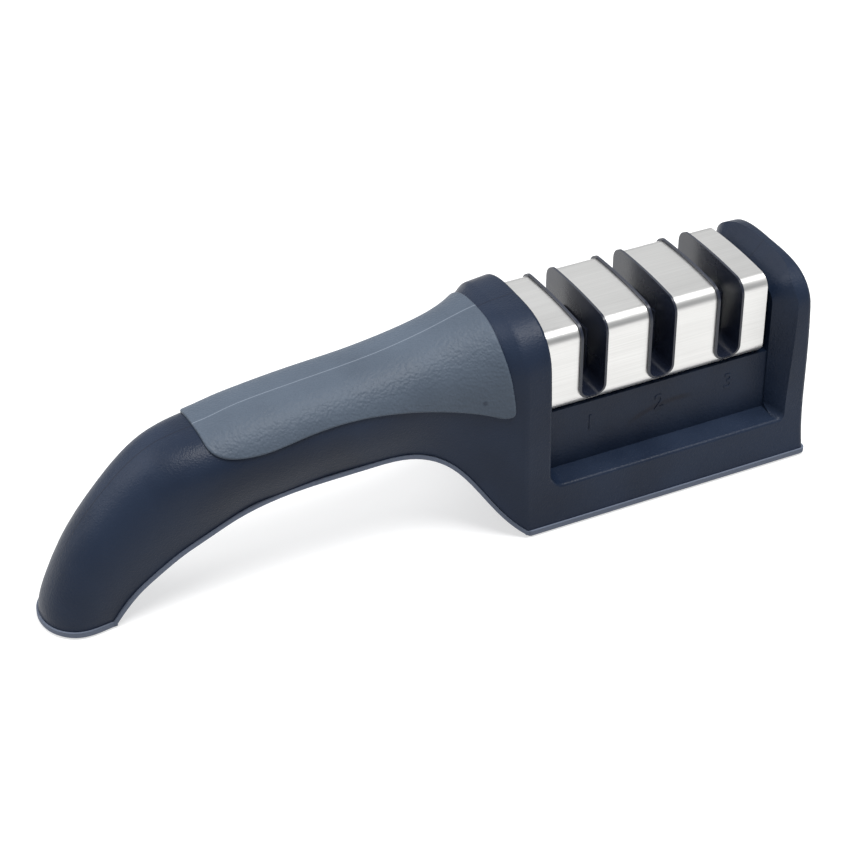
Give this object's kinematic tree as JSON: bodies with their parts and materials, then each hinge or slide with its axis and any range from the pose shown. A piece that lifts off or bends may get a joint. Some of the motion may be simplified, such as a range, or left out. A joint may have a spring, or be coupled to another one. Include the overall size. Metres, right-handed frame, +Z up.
{
  "type": "pull through knife sharpener",
  "caption": "Tabletop pull-through knife sharpener with a drooping handle, a soft grip and a steel-covered head whose slots hold crossing abrasives.",
  "frame": {"origin": "on the table under the middle slot, at the base pad's lower face", "axes": "+X towards the head's far wall, away from the handle; +Y towards the back, from which the blade is drawn; +Z up"},
  "size_m": [0.208, 0.0466, 0.0595],
  "materials": {
    "black_plastic": "fine moulded grain",
    "grip_rubber": "soft moulded grain",
    "pad_rubber": "smooth matt",
    "cover_steel": "brushed along its length",
    "core_plastic": "smooth, lightly polished",
    "diamond": "plated with fine diamond grit",
    "carbide": "ground",
    "ceramic": "fine ground",
    "screw_steel": "plain"
  },
  "bodies": {
    "root": {"body_shell": "black_plastic", "soft_grip": "grip_rubber", "bottom_cover": "black_plastic", "base_pad": "pad_rubber", "steel_cover": "cover_steel", "slot_core": "core_plastic", "core_clamp": "black_plastic", "diamond_cartridge": "core_plastic", "diamond_rod_front": "diamond", "diamond_rod_back": "diamond", "carbide_cartridge": "core_plastic", "carbide_blade_front": "carbide", "carbide_blade_back": "carbide", "ceramic_cartridge": "core_plastic", "ceramic_rod_front": "ceramic", "ceramic_rod_back": "ceramic", "cover_screws": "screw_steel", "core_screws": "screw_steel"}
  },
  "joints": []
}
